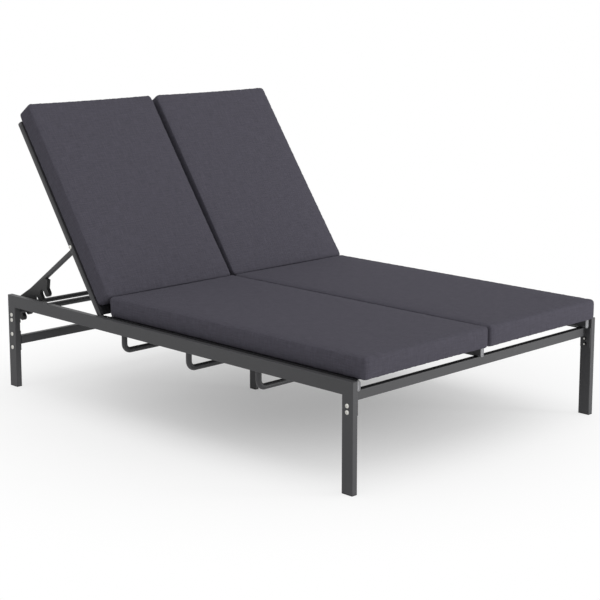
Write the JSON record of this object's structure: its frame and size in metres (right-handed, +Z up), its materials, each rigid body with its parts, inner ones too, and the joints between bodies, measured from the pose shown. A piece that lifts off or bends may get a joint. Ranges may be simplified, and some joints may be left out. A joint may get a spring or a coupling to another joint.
{
  "type": "double chaise lounger",
  "caption": "Low steel lounger for two with separate seat and back cushions; each backrest reclines to flat and is propped by a notched strut that hooks over a cross tube.",
  "frame": {"origin": "on the floor, under the middle of the bounding box", "axes": "+Z up, +Y from the foot end to the head end, +X to the right as seen from the foot end"},
  "size_m": [1.1216, 1.6576, 0.9596],
  "materials": {
    "powder_coated_steel": "satin charcoal powder coat",
    "zinc_plated_steel": "bright zinc plate, satin",
    "screw_steel": "blackened",
    "glide_plastic": "moulded, matte",
    "cap_plastic": "moulded light grey, matte",
    "comb_plastic": "moulded glass-filled nylon, matte",
    "sling_fabric": "coarse woven mesh",
    "cushion_fabric": "plain woven outdoor cloth over foam"
  },
  "bodies": {
    "frame": {"foot_cross_bar": "powder_coated_steel", "head_cross_tube": "powder_coated_steel", "rear_stretcher": "powder_coated_steel", "cross_bar_plates": "powder_coated_steel", "middle_leg": "powder_coated_steel", "middle_seat_tube": "powder_coated_steel", "seat_tube_lugs": "powder_coated_steel", "hinge_plates": "powder_coated_steel", "left_side_rail": "powder_coated_steel", "left_foot_leg": "powder_coated_steel", "left_head_leg": "powder_coated_steel", "left_seat_tube": "powder_coated_steel", "left_foot_spreader": "powder_coated_steel", "left_middle_spreader": "powder_coated_steel", "left_head_spreader": "powder_coated_steel", "right_side_rail": "powder_coated_steel", "right_foot_leg": "powder_coated_steel", "right_head_leg": "powder_coated_steel", "right_seat_tube": "powder_coated_steel", "right_foot_spreader": "powder_coated_steel", "right_middle_spreader": "powder_coated_steel", "right_head_spreader": "powder_coated_steel", "frame_bolts": "zinc_plated_steel", "backrest_pivot_pins": "zinc_plated_steel", "frame_nuts": "screw_steel", "leg_glides": "glide_plastic", "seat_tube_caps": "cap_plastic", "left_seat_sling": "sling_fabric", "right_seat_sling": "sling_fabric", "left_seat_cushion": "cushion_fabric", "right_seat_cushion": "cushion_fabric"},
    "left_backrest": {"left_backrest_outer_tube": "powder_coated_steel", "left_backrest_inner_tube": "powder_coated_steel", "left_backrest_top_bar": "powder_coated_steel", "left_backrest_lower_bar": "powder_coated_steel", "left_backrest_tube_caps": "cap_plastic", "left_backrest_sling": "sling_fabric", "left_back_cushion": "cushion_fabric", "left_strut_pivot_bolts": "zinc_plated_steel"},
    "left_strut": {"left_strut_outer_arm": "powder_coated_steel", "left_strut_inner_arm": "powder_coated_steel", "left_strut_end_tube": "powder_coated_steel", "left_strut_outer_comb": "comb_plastic", "left_strut_inner_comb": "comb_plastic", "left_comb_screws": "screw_steel"},
    "right_backrest": {"right_backrest_outer_tube": "powder_coated_steel", "right_backrest_inner_tube": "powder_coated_steel", "right_backrest_top_bar": "powder_coated_steel", "right_backrest_lower_bar": "powder_coated_steel", "right_backrest_tube_caps": "cap_plastic", "right_backrest_sling": "sling_fabric", "right_back_cushion": "cushion_fabric", "right_strut_pivot_bolts": "zinc_plated_steel"},
    "right_strut": {"right_strut_outer_arm": "powder_coated_steel", "right_strut_inner_arm": "powder_coated_steel", "right_strut_end_tube": "powder_coated_steel", "right_strut_outer_comb": "comb_plastic", "right_strut_inner_comb": "comb_plastic", "right_comb_screws": "screw_steel"}
  },
  "joints": [
    {"name": "left_backrest_hinge", "type": "hinge", "parent": "frame", "child": "left_backrest", "pos_m": [0, 0.3102, 0.2985], "axis": [1, 0, 0], "range_deg": [-56.45, 0]},
    {"name": "left_strut_hinge", "type": "hinge", "parent": "left_backrest", "child": "left_strut", "pos_m": [0, 0.4622, 0.51558], "axis": [1, 0, 0], "range_deg": [0, 90.09]},
    {"name": "right_backrest_hinge", "type": "hinge", "parent": "frame", "child": "right_backrest", "pos_m": [0, 0.3102, 0.2985], "axis": [1, 0, 0], "range_deg": [-56.45, 0]},
    {"name": "right_strut_hinge", "type": "hinge", "parent": "right_backrest", "child": "right_strut", "pos_m": [0, 0.4622, 0.51558], "axis": [1, 0, 0], "range_deg": [0, 90.09]}
  ],
  "couplings": [
    {"joint": "left_strut_hinge", "follows": "left_backrest_hinge", "ratio": -1.5951},
    {"joint": "right_strut_hinge", "follows": "right_backrest_hinge", "ratio": -1.5951}
  ]
}
